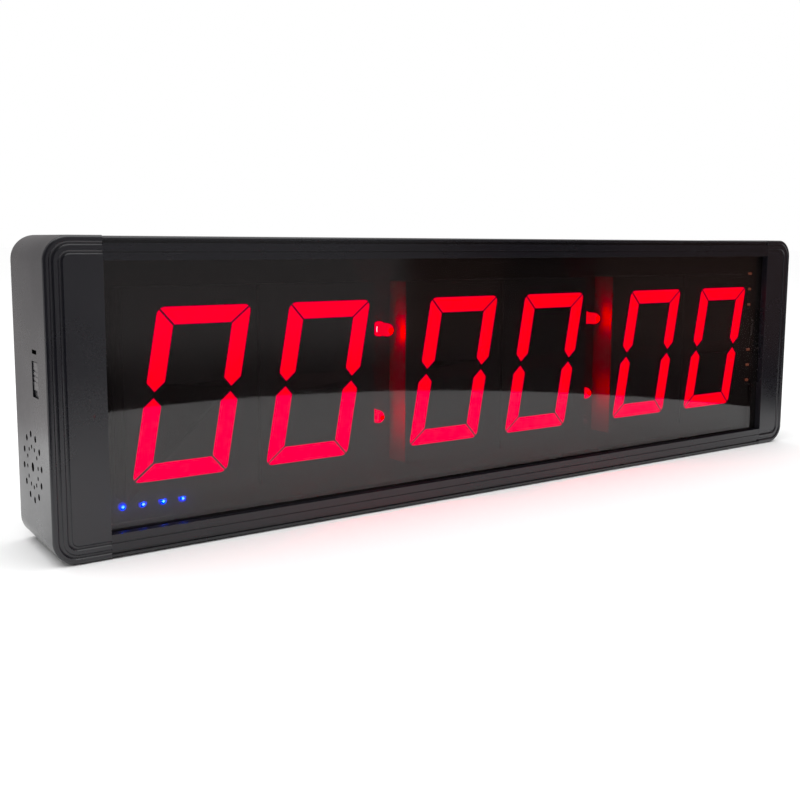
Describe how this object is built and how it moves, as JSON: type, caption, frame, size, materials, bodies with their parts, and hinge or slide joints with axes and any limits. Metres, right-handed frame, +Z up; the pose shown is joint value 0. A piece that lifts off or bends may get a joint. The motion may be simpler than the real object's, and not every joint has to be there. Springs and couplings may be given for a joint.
{
  "type": "gym round timer",
  "caption": "Wall or table round timer: long black case with rounded corners, smoked front lens and a red LED clock display behind it.",
  "frame": {"origin": "middle of the footprint, at the height of the surface that the timer stands on", "axes": "+X along the length, to the right seen from the front; the display faces -Y; +Z up"},
  "size_m": [0.364, 0.04, 0.1015],
  "materials": {
    "case_plastic": "fine satin moulded surface",
    "panel_plastic": "matt",
    "smoked_lens": "polished smoked acrylic",
    "circuit_board": "solder mask, semi-gloss",
    "module_black": "black printed face",
    "lit_red": "lit diffused epoxy",
    "unlit_segment": "unlit diffused epoxy",
    "red_lamp": "lit clear red epoxy",
    "blue_lamp": "lit chip lamp",
    "unlit_lamp": "unlit chip lamp",
    "chip_epoxy": "moulded epoxy",
    "socket_nylon": "natural nylon",
    "plated_steel": "tin plated",
    "speaker_steel": "dark painted",
    "cone_paper": "coated paper cone",
    "magnet_steel": "plated",
    "wire_red": "satin insulation",
    "wire_yellow": "satin insulation",
    "slider_plastic": "fine satin",
    "screw_steel": "zinc plated",
    "cell_wrap": "shrink sleeve",
    "frame_plastic": "matt"
  },
  "bodies": {
    "case": {"left_end_cap": "case_plastic", "right_end_cap": "case_plastic", "top_rail": "case_plastic", "bottom_rail": "case_plastic", "rear_panel": "panel_plastic", "front_lens": "smoked_lens", "main_board": "circuit_board", "digit_1_housing": "module_black", "digit_2_housing": "module_black", "digit_3_housing": "module_black", "digit_4_housing": "module_black", "digit_5_housing": "module_black", "digit_6_housing": "module_black", "digit_1_segments": "lit_red", "digit_2_segments": "lit_red", "digit_3_segments": "lit_red", "digit_4_segments": "lit_red", "digit_5_segments": "lit_red", "digit_6_segments": "lit_red", "unlit_middle_segments": "unlit_segment", "left_colon_lamps": "red_lamp", "right_colon_lamps": "red_lamp", "battery_level_lamps": "blue_lamp", "marker_lamps": "unlit_lamp", "ir_receiver": "chip_epoxy", "control_chip": "chip_epoxy", "driver_chips": "chip_epoxy", "wire_sockets": "socket_nylon", "charge_port": "plated_steel", "speaker_frame": "speaker_steel", "speaker_cone": "cone_paper", "speaker_magnet": "magnet_steel", "speaker_wires": "wire_red", "switch_body": "plated_steel", "switch_screws": "screw_steel", "switch_wires": "wire_yellow", "battery_cells": "cell_wrap", "battery_frame": "frame_plastic", "battery_frame_screws": "screw_steel", "battery_wires": "wire_red", "panel_screws": "screw_steel"},
    "switch": {"switch_slider": "slider_plastic"}
  },
  "joints": [
    {"name": "power_slide", "type": "slide", "parent": "case", "child": "switch", "axis": [0, 0, -1], "range_m": [0, 0.002]}
  ]
}
